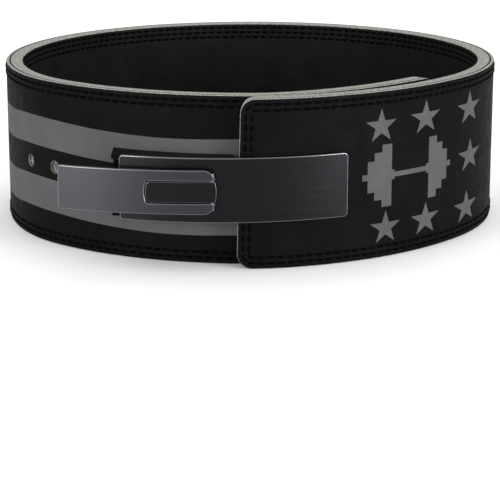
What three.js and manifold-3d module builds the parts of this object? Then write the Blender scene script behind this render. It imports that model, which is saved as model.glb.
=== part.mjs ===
// Weightlifting belt with a lever buckle, fastened round an open waist and standing on its rim.
// Millimetres, +Z up, the buckle faces -Y. A turn is an angle in degrees round the waist, from the
// front towards +X. The strap starts at its outer end, at a turn just below 0, and laps itself past 360.
import * as THREE from 'three';
import { mergeVertices } from 'three/addons/utils/BufferGeometryUtils.js';
import Module from 'manifold-3d';

const wasm = await Module();
wasm.setup();

// Strap
const ringRadius = 159.8;
const strapHeight = 101.6;
const strapThickness = 10.6;
const facingThickness = 2.3;
const glueGap = 0.3;
const lapGap = 0.5;
const tailStandOff = 4;
const outerEndAngle = -2.5;
const tailEndAngle = 413.5;
const rimBevel = 0.6;
const endCornerRadius = 9;
const endSkew = 2.4;

// Holes of the strap
const holeDiameter = 8.5;
const holePitch = 26;
const holeCount = 9;
const holeLineDrop = 2.3;
const farHoleAngle = 301;
const screwedHoles = [3, 4];
const endHoleInset = 23;
const endHoleCount = 2;

// Buckle
const buckleHeight = 38.8;
const hookRadius = 173;
const hookThickness = 3;
const hookLeftAngle = -26;
const hookRightAngle = 20.8;
const hookSeatGap = 0.45;
const hookLift = 19;
const plateBevel = 0.7;
const plateCornerRadius = 2.5;
const prongDiameter = 7.4;
const prongLength = 9;
const seatGap = 0.3;

const baseLeftAngle = -32;
const baseRightAngle = -4;
const baseHeight = 36.6;
const baseThickness = 3;
const cheekThickness = 2.5;
const earThickness = 3;
const earAngle = -20;
const earHalfAngle = 2.3;
const earReach = 9;
const basePinDiameter = 5;

const leverHeight = 26.2;
const leverRadius = 221;
const leverTipAngle = -35.8;
const leverTipStandOff = 38;
const leverHeelThickness = 4.8;
const leverTipThickness = 3.2;
const leverGap = 0.4;
const leverPinX = -22.2;
const leverPinDiameter = 2.8;
const leverPinDepth = 5;
const heelReach = 3.3;
const heelRise = 3.4;
const heelCorner = 3;
const tongueHeight = 12.4;
const tongueLength = 41.6;
const tongueRise = 2.6;
const tongueCorner = 2.5;
const tongueSink = 0.6;
const tongueGap = 0.5;
const pinGap = 0.2;

const backingHeight = 32;
const backingThickness = 2.5;
const backingOverhang = 16;
const screwDiameter = 5;
const screwHeadDiameter = 12.5;
const screwHeadHeight = 2.4;
const recessWidth = 2;
const recessLength = 7;
const recessDepth = 1.2;

// Worked out from the sizes above
const midHeight = strapHeight / 2;
const holeLine = midHeight - holeLineDrop;
const degree = Math.PI / 180;
const cutReach = ringRadius;
const fullTurn = 360;

// Facets
const strapStepAngle = 3.5;
const plateStepAngle = 1.2;
const holeSides = 14;
const headSides = 18;
const cornerSteps = 6;
const archSteps = 16;

// Form of the ring: the outer lap's radius at each turn, as a share of ringRadius
const ringForm = [
  { turn: 0, radius: 1.0225 },
  { turn: 13, radius: 1.005 },
  { turn: 21.7, radius: 0.992 },
  { turn: 37.8, radius: 0.978 },
  { turn: 49.4, radius: 0.977 },
  { turn: 63.9, radius: 0.987 },
  { turn: 79, radius: 0.995 },
  { turn: 99, radius: 1 },
  { turn: 180, radius: 1 },
  { turn: 266, radius: 1 },
  { turn: 296, radius: 1.004 },
  { turn: 315, radius: 1.0105 },
  { turn: 340.5, radius: 1.0205 },
  { turn: 360, radius: 1.0225 },
];

// Form of the lap: how much of the step inwards is done, and of the tail's stand-off from the outer lap
const lapForm = [
  { turn: 296, step: 0, standOff: 0 },
  { turn: 306.5, step: 0.1, standOff: 0 },
  { turn: 317, step: 0.4, standOff: 0 },
  { turn: 329.6, step: 0.7, standOff: 0 },
  { turn: 343.6, step: 0.92, standOff: 0 },
  { turn: 355.6, step: 1, standOff: 0 },
  { turn: 368.7, step: 1, standOff: 0.1 },
  { turn: 386, step: 1, standOff: 0.7 },
  { turn: 399, step: 1, standOff: 1 },
  { turn: 416, step: 1, standOff: 1 },
];

// Smooth curve through one column of a table, level at its two ends
function valueAt(rows, column, turn) {
  const last = rows.length - 1;
  if (turn <= rows[0].turn) return rows[0][column];
  if (turn >= rows[last].turn) return rows[last][column];
  const next = rows.findIndex((row) => row.turn > turn);
  const slope = (index) => {
    if (index === 0 || index === last) return 0;
    const before = rows[index - 1];
    const after = rows[index + 1];
    return (after[column] - before[column]) / (after.turn - before.turn);
  };
  const from = rows[next - 1];
  const to = rows[next];
  const span = to.turn - from.turn;
  const t = (turn - from.turn) / span;
  const rise = to[column] - from[column];
  const leave = slope(next - 1) * span;
  const arrive = slope(next) * span;
  const bend = t * t * (3 - 2 * t);
  return from[column] + rise * bend + leave * t * (1 - t) * (1 - t) - arrive * t * t * (1 - t);
}

// Radius of the strap's outer face
function strapFace(turn) {
  const ring = ringRadius * valueAt(ringForm, 'radius', ((turn % fullTurn) + fullTurn) % fullTurn);
  const step = (strapThickness + lapGap) * valueAt(lapForm, 'step', turn);
  return ring - step - tailStandOff * valueAt(lapForm, 'standOff', turn);
}

// A face that lies deeper than another, or further out where the depth is negative
const below = (face, depth) => (turn) => face(turn) - depth;

// The plan point at a turn and a radius
const planPoint = (turn, radius) => {
  const angle = turn * degree;
  return new THREE.Vector2(radius * Math.sin(angle), -radius * Math.cos(angle));
};

// The circle of a given radius that bulges to the front through two plan points
function circleThrough(left, right, radius) {
  const middle = left.clone().add(right).multiplyScalar(0.5);
  const half = left.distanceTo(right) / 2;
  const along = right.clone().sub(left).normalize();
  const inward = new THREE.Vector2(-along.y, along.x);
  const centre = middle.addScaledVector(inward, Math.sqrt(radius * radius - half * half));
  return { centre, radius };
}

// Distance from the waist's axis to a circle, along a turn
const circleFace = (circle) => (turn) => {
  const ray = planPoint(turn, 1);
  const along = ray.dot(circle.centre);
  return along + Math.sqrt(along * along - circle.centre.lengthSq() + circle.radius * circle.radius);
};

// Turn at which a face reaches a given X, found by halving
function turnAtX(face, x) {
  let low = -60;
  let high = 60;
  for (let count = 0; count < 40; count += 1) {
    const turn = (low + high) / 2;
    if (planPoint(turn, face(turn)).x < x) low = turn;
    else high = turn;
  }
  return (low + high) / 2;
}

// The strap's turn that lies a length further along its middle
function turnAlongStrap(turn, length) {
  const steps = 40;
  let reached = turn;
  for (let count = 0; count < steps; count += 1) {
    reached += length / steps / (strapFace(reached) - strapThickness / 2) / degree;
  }
  return reached;
}

// Solids
function toSolid(geometry) {
  const bare = geometry.index ? geometry.toNonIndexed() : geometry.clone();
  bare.deleteAttribute('normal');
  bare.deleteAttribute('uv');
  const merged = mergeVertices(bare, 1e-4);
  const vertProperties = new Float32Array(merged.attributes.position.array);
  const triVerts = new Uint32Array(merged.index.array);
  return new wasm.Manifold(new wasm.Mesh({ numProp: 3, vertProperties, triVerts }));
}

function toMesh(name, solid, material) {
  const { vertProperties, triVerts } = solid.getMesh();
  const geometry = new THREE.BufferGeometry();
  geometry.setAttribute('position', new THREE.BufferAttribute(vertProperties, 3));
  geometry.setIndex(new THREE.BufferAttribute(triVerts, 1));
  geometry.computeVertexNormals();
  const mesh = new THREE.Mesh(geometry, material);
  mesh.name = name;
  return mesh;
}

// A curved wall between two faces and two turns, standing from one height to another
function wall({ outer, inner, from, to, height, centreHeight = holeLine, stepTurn, bevel = 0 }) {
  const count = Math.max(2, Math.ceil((to - from) / stepTurn));
  const turns = Array.from({ length: count + 1 }, (_, index) => from + ((to - from) * index) / count);
  const outside = turns.map((turn) => planPoint(turn, outer(turn)));
  const inside = turns.map((turn) => planPoint(turn, inner(turn))).reverse();
  const geometry = new THREE.ExtrudeGeometry(new THREE.Shape([...outside, ...inside]), {
    depth: height - 2 * bevel,
    bevelEnabled: bevel > 0,
    bevelThickness: bevel,
    bevelSize: bevel,
    bevelOffset: -bevel,
    bevelSegments: 1,
    steps: 1,
  });
  geometry.translate(0, 0, centreHeight - height / 2 + bevel);
  return toSolid(geometry);
}

// A rod along the ray at a turn, between two radii
function radialRod({ turn, from, to, diameter, sides = holeSides, height = holeLine }) {
  const geometry = new THREE.CylinderGeometry(diameter / 2, diameter / 2, to - from, sides);
  geometry.translate(0, (from + to) / 2, 0);
  geometry.rotateZ((turn - 180) * degree);
  geometry.translate(0, 0, height);
  return toSolid(geometry);
}

// An upright rod
function uprightRod({ centre, diameter, length, centreHeight = holeLine, sides = holeSides }) {
  const geometry = new THREE.CylinderGeometry(diameter / 2, diameter / 2, length, sides);
  geometry.rotateX(Math.PI / 2);
  geometry.translate(centre.x, centre.y, centreHeight);
  return toSolid(geometry);
}

// A shape drawn as seen from the front, in X and in height above the hole line, cut through along Y
function frontCut(shape) {
  const geometry = new THREE.ExtrudeGeometry(shape, {
    depth: cutReach,
    bevelEnabled: false,
    curveSegments: cornerSteps,
  });
  geometry.rotateX(Math.PI / 2);
  geometry.translate(0, -cutReach / 3, holeLine);
  return toSolid(geometry);
}

// One upright end of a front outline: arched outwards by a rise, with its two corners rounded
function archedEnd({ edge, rise, corner, height, side, upwards }) {
  const half = height / 2;
  return Array.from({ length: archSteps + 1 }, (_, index) => {
    const up = ((2 * index) / archSteps - 1) * upwards;
    const intoCorner = Math.max(0, Math.abs(up) * half - half + corner) / Math.max(corner, 1);
    const round = corner * (1 - Math.sqrt(Math.max(0, 1 - intoCorner * intoCorner)));
    return new THREE.Vector2(edge - side * (rise * up * up + round), half * up);
  });
}

const archedOutline = ({ left, right, height, leftRise, rightRise, leftCorner = 0, rightCorner = 0 }) => (
  new THREE.Shape([
    ...archedEnd({ edge: right, rise: rightRise, corner: rightCorner, height, side: 1, upwards: 1 }),
    ...archedEnd({ edge: left, rise: leftRise, corner: leftCorner, height, side: -1, upwards: -1 }),
  ]));

function roundedOutline({ left, right, height, corner }) {
  const half = height / 2;
  const shape = new THREE.Shape();
  shape.moveTo(left + corner, -half);
  shape.lineTo(right - corner, -half);
  shape.absarc(right - corner, -half + corner, corner, -Math.PI / 2, 0);
  shape.absarc(right - corner, half - corner, corner, 0, Math.PI / 2);
  shape.absarc(left + corner, half - corner, corner, Math.PI / 2, Math.PI);
  shape.absarc(left + corner, -half + corner, corner, Math.PI, Math.PI * 1.5);
  return shape;
}

// Strap
const holeTurns = Array.from({ length: holeCount }, (_, index) => (
  turnAlongStrap(farHoleAngle, index * holePitch)));
const endHoleTurns = Array.from({ length: endHoleCount }, (_, index) => (
  turnAlongStrap(outerEndAngle, endHoleInset + index * holePitch)));
const screwTurns = screwedHoles.map((index) => holeTurns[index]);
const strapBack = below(strapFace, strapThickness);

// What is trimmed off a strap end, within its own lap: all beyond a leaning edge with two round corners
function endTrim(turn, inwards) {
  const lean = (endSkew / 2) * (1 - (2 * endCornerRadius) / strapHeight);
  const beyond = -endSkew;
  const top = strapHeight + endSkew;
  const radius = endCornerRadius;
  const shape = new THREE.Shape();
  shape.moveTo(beyond, -endSkew);
  shape.lineTo(radius - lean, -endSkew);
  shape.lineTo(radius - lean, 0);
  shape.absarc(radius - lean, radius, radius, Math.PI * 1.5, Math.PI, true);
  shape.lineTo(lean, strapHeight - radius);
  shape.absarc(radius + lean, strapHeight - radius, radius, Math.PI, Math.PI / 2, true);
  shape.lineTo(radius + lean, top);
  shape.lineTo(beyond, top);
  const depth = 4 * strapThickness;
  const geometry = new THREE.ExtrudeGeometry(shape, {
    depth,
    bevelEnabled: false,
    curveSegments: cornerSteps,
  });
  geometry.rotateX(Math.PI / 2);
  geometry.translate(0, depth / 2 - strapFace(turn), 0);
  const margin = turnAlongStrap(turn, radius + 2 * endSkew) - turn;
  const lap = wall({
    outer: below(strapFace, -lapGap / 2),
    inner: below(strapBack, lapGap / 2),
    from: turn - margin,
    to: turn + margin,
    height: strapHeight * 2,
    centreHeight: midHeight,
    stepTurn: strapStepAngle / 2,
  });
  return toSolid(geometry).scale([inwards, 1, 1]).rotate([0, 0, turn]).intersect(lap);
}

function strapCuts() {
  const reach = strapThickness + lapGap;
  const holes = [...holeTurns, ...endHoleTurns].map((turn) => radialRod({
    turn,
    from: strapFace(turn) - reach,
    to: strapFace(turn) + lapGap,
    diameter: holeDiameter,
  }));
  return [...holes, endTrim(outerEndAngle, 1), endTrim(tailEndAngle, -1)];
}

function strapLayer(outer, inner) {
  const layer = wall({
    outer,
    inner,
    from: outerEndAngle,
    to: tailEndAngle,
    height: strapHeight,
    centreHeight: midHeight,
    stepTurn: strapStepAngle,
    bevel: rimBevel,
  });
  return strapCuts().reduce((solid, cut) => solid.subtract(cut), layer);
}

// The centre of the hook plate's curve: one end seated on the outer lap, the other lifted off the strap,
// and the whole pushed out until its back just clears the outer lap
function seatedHookCentre() {
  const { centre } = circleThrough(
    planPoint(hookLeftAngle, strapFace(hookLeftAngle + fullTurn) + hookLift + hookThickness),
    planPoint(hookRightAngle, strapFace(hookRightAngle) + hookSeatGap + hookThickness),
    hookRadius,
  );
  const back = circleFace({ centre, radius: hookRadius - hookThickness });
  const count = Math.ceil((hookRightAngle - outerEndAngle) / plateStepAngle);
  const clearances = Array.from({ length: count + 1 }, (_, index) => {
    const turn = outerEndAngle + ((hookRightAngle - outerEndAngle) * index) / count;
    return back(turn) - strapFace(turn);
  });
  return centre.add(planPoint(0, hookSeatGap - Math.min(...clearances)));
}

// Buckle faces
const hookCentre = seatedHookCentre();
const hookFace = circleFace({ centre: hookCentre, radius: hookRadius });
const hookBack = circleFace({ centre: hookCentre, radius: hookRadius - hookThickness });
const hookLeft = planPoint(hookLeftAngle, hookFace(hookLeftAngle)).x;
const hookRight = planPoint(hookRightAngle, hookFace(hookRightAngle)).x;

const heelTurn = turnAtX(hookFace, leverPinX);
const heelFace = hookFace(heelTurn) + leverGap + leverHeelThickness;
const tipFace = strapFace(leverTipAngle + fullTurn) + leverTipStandOff;
const leverFace = circleFace(circleThrough(
  planPoint(leverTipAngle, tipFace),
  planPoint(heelTurn, heelFace),
  leverRadius,
));
const leverBack = circleFace(circleThrough(
  planPoint(leverTipAngle, tipFace - leverTipThickness),
  planPoint(heelTurn, heelFace - leverHeelThickness),
  leverRadius,
));
const leverPin = planPoint(heelTurn, heelFace - leverHeelThickness / 2);
const leverTip = planPoint(leverTipAngle, tipFace).x;
const leverHeel = leverPin.x + heelReach;

// Where the hidden pin crosses the ears under the hook plate
const earCentre = planPoint(earAngle, hookBack(earAngle) - earReach / 2);

// Black channel on the strap: a web along its face and two cheeks out to the hook plate
function buckleBase() {
  const stepTurn = plateStepAngle * 2;
  const span = { from: baseLeftAngle + fullTurn, to: baseRightAngle + fullTurn, stepTurn };
  const underside = below(strapFace, -seatGap);
  const web = wall({
    ...span,
    outer: below(strapFace, -seatGap - baseThickness),
    inner: underside,
    height: baseHeight,
  });
  const cheekOffset = (baseHeight - cheekThickness) / 2;
  const cheeks = [-1, 1].map((side) => wall({
    ...span,
    outer: below(hookBack, seatGap),
    inner: underside,
    height: cheekThickness,
    centreHeight: holeLine + side * cheekOffset,
  }));
  const bores = screwTurns.map((turn) => radialRod({
    turn,
    from: strapFace(turn),
    to: strapFace(turn) + baseThickness * 2,
    diameter: screwDiameter + 2 * seatGap,
  }));
  bores.push(uprightRod({ centre: earCentre, diameter: basePinDiameter + 2 * seatGap, length: strapHeight }));
  const outline = roundedOutline({
    left: planPoint(span.from, strapFace(span.from)).x,
    right: 0,
    height: baseHeight,
    corner: 0,
  });
  const channel = cheeks.reduce((solid, cheek) => solid.add(cheek), web).intersect(frontCut(outline));
  return bores.reduce((solid, bore) => solid.subtract(bore), channel);
}

function hookPlate() {
  const shell = wall({
    outer: hookFace,
    inner: hookBack,
    from: hookLeftAngle,
    to: hookRightAngle,
    height: buckleHeight,
    stepTurn: plateStepAngle,
    bevel: plateBevel,
  });
  const outline = roundedOutline({
    left: hookLeft,
    right: hookRight,
    height: buckleHeight,
    corner: plateCornerRadius,
  });
  const prongs = endHoleTurns.map((turn) => radialRod({
    turn,
    from: strapFace(turn) - prongLength,
    to: hookFace(turn) - hookThickness / 2,
    diameter: prongDiameter,
  }));
  const earOffset = baseHeight / 2 - cheekThickness - seatGap - earThickness / 2;
  const ears = [-1, 1].map((side) => wall({
    outer: below(hookFace, hookThickness / 2),
    inner: below(hookBack, earReach),
    from: earAngle - earHalfAngle,
    to: earAngle + earHalfAngle,
    height: earThickness,
    centreHeight: holeLine + side * earOffset,
    stepTurn: plateStepAngle,
  }));
  const plate = shell.intersect(frontCut(outline));
  const body = [...prongs, ...ears, tongue()].reduce((solid, piece) => solid.add(piece), plate);
  const earBore = uprightRod({
    centre: earCentre,
    diameter: basePinDiameter + 2 * seatGap,
    length: buckleHeight,
  });
  const tongueBore = uprightRod({
    centre: leverPin,
    diameter: leverPinDiameter + 2 * pinGap,
    length: buckleHeight,
  });
  return body.subtract(earBore).subtract(tongueBore);
}

// Raised tongue that fills the lever's fork and carries its pin
function tongue() {
  const right = leverHeel - tongueGap;
  const block = wall({
    outer: below(leverFace, tongueSink),
    inner: below(hookFace, hookThickness / 2),
    from: hookLeftAngle,
    to: 0,
    height: tongueHeight,
    stepTurn: plateStepAngle,
    bevel: plateBevel / 2,
  });
  const outline = archedOutline({
    left: right - tongueLength,
    right,
    height: tongueHeight,
    leftRise: tongueRise,
    rightRise: heelRise * (tongueHeight / leverHeight) ** 2,
    leftCorner: tongueCorner,
  });
  return block.intersect(frontCut(outline));
}

function lever() {
  const handle = wall({
    outer: leverFace,
    inner: leverBack,
    from: leverTipAngle,
    to: 0,
    height: leverHeight,
    stepTurn: plateStepAngle,
    bevel: plateBevel,
  });
  const outline = archedOutline({
    left: leverTip,
    right: leverHeel,
    height: leverHeight,
    leftRise: 0,
    rightRise: heelRise,
    rightCorner: heelCorner,
  });
  const windowLeft = leverHeel - tongueGap - tongueLength - tongueGap;
  const window = archedOutline({
    left: windowLeft,
    right: leverHeel + heelRise,
    height: tongueHeight + 2 * tongueGap,
    leftRise: tongueRise,
    rightRise: 0,
    leftCorner: tongueCorner,
  });
  const bore = uprightRod({
    centre: leverPin,
    diameter: leverPinDiameter + 2 * pinGap,
    length: tongueHeight + 2 * leverPinDepth,
  });
  return handle.intersect(frontCut(outline)).intersect(heelRound()).subtract(frontCut(window)).subtract(bore);
}

// Rounds the lever's heel about its pin, so that it clears the hook plate as it turns
function heelRound() {
  const round = uprightRod({
    centre: leverPin,
    diameter: leverHeelThickness,
    length: strapHeight,
    sides: headSides,
  });
  const keep = new THREE.BoxGeometry(ringRadius, ringRadius, strapHeight);
  keep.translate(leverPin.x - ringRadius / 2, leverPin.y, holeLine);
  return toSolid(keep).add(round);
}

// Radius at which a screw's head sits on the backing plate
const headSeat = below(strapBack, backingThickness + 2 * seatGap);

function backingPlate() {
  const [first, second] = screwTurns;
  const overhang = turnAlongStrap(first, backingOverhang) - first;
  const face = below(strapBack, seatGap);
  const plate = wall({
    outer: face,
    inner: below(face, backingThickness),
    from: first - overhang,
    to: second + overhang,
    height: backingHeight,
    stepTurn: plateStepAngle * 2,
    bevel: plateBevel,
  });
  const bores = screwTurns.flatMap((turn) => [
    radialRod({
      turn,
      from: face(turn) - 2 * backingThickness,
      to: face(turn) + backingThickness,
      diameter: screwDiameter + 2 * seatGap,
    }),
    radialRod({
      turn,
      from: face(turn) - 2 * backingThickness,
      to: headSeat(turn) + seatGap,
      diameter: screwHeadDiameter + 2 * seatGap,
    }),
  ]);
  return bores.reduce((solid, bore) => solid.subtract(bore), plate);
}

function baseScrew(turn) {
  const seat = headSeat(turn);
  const headTop = seat - screwHeadHeight;
  const head = radialRod({ turn, from: headTop, to: seat, diameter: screwHeadDiameter, sides: headSides });
  const shank = radialRod({
    turn,
    from: seat - screwHeadHeight / 2,
    to: strapFace(turn) + seatGap + baseThickness,
    diameter: screwDiameter,
  });
  const slots = [[recessLength, recessWidth], [recessWidth, recessLength]].map(([width, height]) => {
    const slot = new THREE.BoxGeometry(width, 2 * recessDepth, height);
    slot.translate(0, -headTop, 0);
    slot.rotateZ(turn * degree);
    slot.translate(0, 0, holeLine);
    return toSolid(slot);
  });
  return head.add(shank).subtract(slots[0]).subtract(slots[1]);
}

function basePin() {
  return uprightRod({ centre: earCentre, diameter: basePinDiameter, length: baseHeight });
}

function leverHingePin() {
  const length = tongueHeight + 2 * leverPinDepth - 2 * pinGap;
  return uprightRod({ centre: leverPin, diameter: leverPinDiameter, length });
}

// Materials
const rawLeather = new THREE.MeshStandardMaterial({ color: 0x8f8d86, roughness: 0.8, metalness: 0 });
const blackLeather = new THREE.MeshStandardMaterial({ color: 0x1b1b1c, roughness: 0.55, metalness: 0 });
const gunmetal = new THREE.MeshStandardMaterial({ color: 0x55555a, roughness: 0.35, metalness: 0.9 });
const leverMetal = new THREE.MeshStandardMaterial({ color: 0x6a6a70, roughness: 0.3, metalness: 0.9 });
const blackMetal = new THREE.MeshStandardMaterial({ color: 0x141416, roughness: 0.5, metalness: 0.6 });
const screwMetal = new THREE.MeshStandardMaterial({ color: 0x8a8a90, roughness: 0.35, metalness: 1 });

const belt = new THREE.Group();
const coreFace = below(strapFace, facingThickness + glueGap);
belt.add(toMesh('strap_core', strapLayer(coreFace, strapBack), rawLeather));
belt.add(toMesh('strap_facing', strapLayer(strapFace, below(strapFace, facingThickness)), blackLeather));
belt.add(toMesh('buckle_base', buckleBase(), blackMetal));
belt.add(toMesh('hook_plate', hookPlate(), gunmetal));
belt.add(toMesh('base_pin', basePin(), blackMetal));
belt.add(toMesh('lever', lever(), leverMetal));
belt.add(toMesh('lever_pin', leverHingePin(), screwMetal));
belt.add(toMesh('backing_plate', backingPlate(), blackMetal));
screwTurns.forEach((turn, index) => belt.add(toMesh(`base_screw_${index + 1}`, baseScrew(turn), screwMetal)));

// The origin is under the middle of the whole, on the surface that it stands on
const extent = new THREE.Box3().setFromObject(belt);
const middle = extent.getCenter(new THREE.Vector3());
belt.position.set(-middle.x, -middle.y, -extent.min.z);

export default belt;
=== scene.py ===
import math

import bpy
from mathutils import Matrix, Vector
from mathutils.geometry import delaunay_2d_cdt

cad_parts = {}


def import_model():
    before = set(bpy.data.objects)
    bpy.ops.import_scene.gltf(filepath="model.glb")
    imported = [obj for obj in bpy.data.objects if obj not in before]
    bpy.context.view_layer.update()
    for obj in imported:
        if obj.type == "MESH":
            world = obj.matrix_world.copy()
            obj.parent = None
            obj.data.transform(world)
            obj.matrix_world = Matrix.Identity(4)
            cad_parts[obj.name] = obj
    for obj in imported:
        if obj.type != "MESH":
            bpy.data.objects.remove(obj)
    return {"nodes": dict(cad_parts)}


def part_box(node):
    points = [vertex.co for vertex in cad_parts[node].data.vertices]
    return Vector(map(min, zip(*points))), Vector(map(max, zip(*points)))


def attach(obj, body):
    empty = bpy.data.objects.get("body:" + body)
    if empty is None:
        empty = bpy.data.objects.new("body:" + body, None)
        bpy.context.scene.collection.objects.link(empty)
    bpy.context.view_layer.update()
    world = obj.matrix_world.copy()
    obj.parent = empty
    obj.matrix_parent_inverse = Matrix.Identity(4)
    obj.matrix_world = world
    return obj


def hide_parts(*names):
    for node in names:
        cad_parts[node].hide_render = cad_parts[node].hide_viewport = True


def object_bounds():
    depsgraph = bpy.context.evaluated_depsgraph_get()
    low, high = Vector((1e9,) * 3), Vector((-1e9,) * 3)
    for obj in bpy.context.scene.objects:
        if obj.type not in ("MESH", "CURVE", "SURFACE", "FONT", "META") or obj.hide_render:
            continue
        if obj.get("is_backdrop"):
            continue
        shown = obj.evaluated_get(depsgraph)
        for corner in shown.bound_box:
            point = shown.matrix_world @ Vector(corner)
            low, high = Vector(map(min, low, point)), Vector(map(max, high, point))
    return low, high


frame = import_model()
cad_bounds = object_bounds()

# All lengths are in metres. A turn is in degrees about the waist's axis, 0 at the front and rising to the
# right as seen from the front. Heights are above the rim that the belt stands on.

# Strap
RING_RADIUS = 0.1598
STRAP_HEIGHT = 0.1016
STRAP_THICKNESS = 0.0106
FACING_THICKNESS = 0.0023
GLUE_GAP = 0.0003
LAP_GAP = 0.0005
TAIL_STAND_OFF = 0.004
OUTER_END_TURN = -2.5
TAIL_END_TURN = 413.5
END_CORNER_RADIUS = 0.009
END_LEAN = 0.001
HOLE_DIAMETER = 0.0085
HOLE_LINE = STRAP_HEIGHT / 2 - 0.0023
HOLE_PITCH = 0.026
HOLE_COUNT = 9
FAR_HOLE_TURN = 301
END_HOLE_INSET = 0.023
END_HOLE_COUNT = 2

# Ring's form: the outer lap's radius at each turn, as a share of RING_RADIUS
RING_FORM = (
    (0, 1.0225), (13, 1.005), (21.7, 0.992), (37.8, 0.978), (49.4, 0.977), (63.9, 0.987), (79, 0.995),
    (99, 1), (180, 1), (266, 1), (296, 1.004), (315, 1.0105), (340.5, 1.0205), (360, 1.0225),
)
# Lap's form: how much of the step inwards is done at each turn
STEP_FORM = (
    (296, 0), (306.5, 0.1), (317, 0.4), (329.6, 0.7), (343.6, 0.92), (355.6, 1), (416, 1),
)
# Tail's form: how much of its stand-off from the outer lap is reached at each turn
STAND_OFF_FORM = (
    (296, 0), (355.6, 0), (368.7, 0.1), (386, 0.7), (399, 1), (416, 1),
)

# Buckle
HOOK_HEIGHT = 0.0388
HOOK_RADIUS = 0.173
HOOK_THICKNESS = 0.003
HOOK_LEFT_TURN = -26
HOOK_RIGHT_TURN = 20.8
HOOK_SEAT_GAP = 0.00045
HOOK_LIFT = 0.019
HOOK_TURN_STEP = 1.2
HOOK_CORNER = 0.0025
PRONG_DIAMETER = 0.0074
PRONG_LENGTH = 0.009
EAR_MIDDLE = -0.057
EAR_WIDTH = 0.013
EAR_THICKNESS = 0.003
EAR_REACH = 0.009
EAR_OFFSET = 0.014
LEVER_RADIUS = 0.221
LEVER_TIP_TURN = -35.8
LEVER_TIP_STAND_OFF = 0.038
LEVER_TIP_THICKNESS = 0.0032
LEVER_HEEL_THICKNESS = 0.0048
LEVER_HEIGHT = 0.0262
LEVER_ARCH = 0.0034
LEVER_CORNER = 0.0045
LEVER_GAP = 0.0004
LEVER_PIN_X = -0.0222
HEEL_REACH = 0.0033
TONGUE_HEIGHT = 0.0124
TONGUE_LENGTH = 0.0416
TONGUE_ARCH = 0.001
TONGUE_CORNER = 0.0015
TONGUE_GAP = 0.0005
TONGUE_SINK = 0.0006

# Rounded edges
FACING_EDGE = 0.001
FACING_BACK_EDGE = 0.0003
FACING_HOLE_EDGE = 0.0006
CORE_EDGE = 0.0004
CORE_INSIDE_EDGE = 0.0011
CORE_HOLE_EDGE = 0.0007
HIDDEN_EDGE = 0.0002
PLATE_EDGE = 0.0006
LEVER_EDGE = 0.0005
FINE_EDGE = 0.0003

# Fine steps of the meshes
PLATE_STEP = 0.002
SLOPE_STEP = 0.001
SMALLEST_CORNER = 0.0004
# The caps are triangulated in millimetres, to this tolerance
MILLIMETRES = 1000
CAP_TOLERANCE = 1e-4

# The waist's axis in the plan: the back of the ring is a RING_RADIUS behind it
facing_low, facing_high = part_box("strap_facing")
AXIS = Vector(((facing_low.x + facing_high.x) / 2, facing_high.y - RING_RADIUS))


# Curves of the belt

def value_at(rows, turn):
    """A smooth curve through a table's rows, level at its two ends."""
    last = len(rows) - 1
    if turn <= rows[0][0]:
        return rows[0][1]
    if turn >= rows[last][0]:
        return rows[last][1]
    after = next(index for index, row in enumerate(rows) if row[0] > turn)

    def slope(index):
        if index in (0, last):
            return 0
        low, high = rows[index - 1], rows[index + 1]
        return (high[1] - low[1]) / (high[0] - low[0])

    start, end = rows[after - 1], rows[after]
    span = end[0] - start[0]
    t = (turn - start[0]) / span
    bend = t * t * (3 - 2 * t)
    leave = slope(after - 1) * span * t * (1 - t) ** 2
    arrive = slope(after) * span * t * t * (1 - t)
    return start[1] + (end[1] - start[1]) * bend + leave - arrive


def strap_radius(turn):
    """Radius of the strap's outer face."""
    ring = RING_RADIUS * value_at(RING_FORM, turn % 360)
    step = (STRAP_THICKNESS + LAP_GAP) * value_at(STEP_FORM, turn)
    return ring - step - TAIL_STAND_OFF * value_at(STAND_OFF_FORM, turn)


def plan_point(turn, radius):
    angle = math.radians(turn)
    return Vector((radius * math.sin(angle), -radius * math.cos(angle)))


def turn_along(turn, length):
    """The turn that lies a length further along the strap's middle."""
    steps = 40
    for _ in range(steps):
        turn += math.degrees(length / steps / (strap_radius(turn) - STRAP_THICKNESS / 2))
    return turn


HOLE_TURNS = [turn_along(FAR_HOLE_TURN, HOLE_PITCH * index) for index in range(HOLE_COUNT)]
END_HOLE_TURNS = [
    turn_along(OUTER_END_TURN, END_HOLE_INSET + HOLE_PITCH * index) for index in range(END_HOLE_COUNT)
]
# The strap's curve is sampled in steps, some of them past each end
TURN_STEP = 0.5
SPARE_STEPS = 8
STRAP_STEPS = math.ceil((TAIL_END_TURN - OUTER_END_TURN) / TURN_STEP)
STRAP_TURNS = [
    OUTER_END_TURN + TURN_STEP * index
    for index in range(-SPARE_STEPS, STRAP_STEPS + SPARE_STEPS)
]
STRAP_RADII = [strap_radius(turn) for turn in STRAP_TURNS]


def strap_lengths():
    """Length along the strap's outer face at each of the strap's turns, zero at the outer end."""
    points = [plan_point(turn, radius) for turn, radius in zip(STRAP_TURNS, STRAP_RADII)]
    lengths = [0.0]
    for before, after in zip(points, points[1:]):
        lengths.append(lengths[-1] + (after - before).length)
    return [length - lengths[SPARE_STEPS] for length in lengths]


STRAP_LENGTHS = strap_lengths()


def interpolate(xs, ys, x):
    low, high = 0, len(xs) - 1
    while high - low > 1:
        middle = (low + high) // 2
        if xs[middle] <= x:
            low = middle
        else:
            high = middle
    share = (x - xs[low]) / (xs[high] - xs[low])
    return ys[low] + (ys[high] - ys[low]) * share


def length_at(turn):
    return interpolate(STRAP_TURNS, STRAP_LENGTHS, turn)


def turn_at(length):
    return interpolate(STRAP_LENGTHS, STRAP_TURNS, length)


# Curves of the buckle

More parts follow.
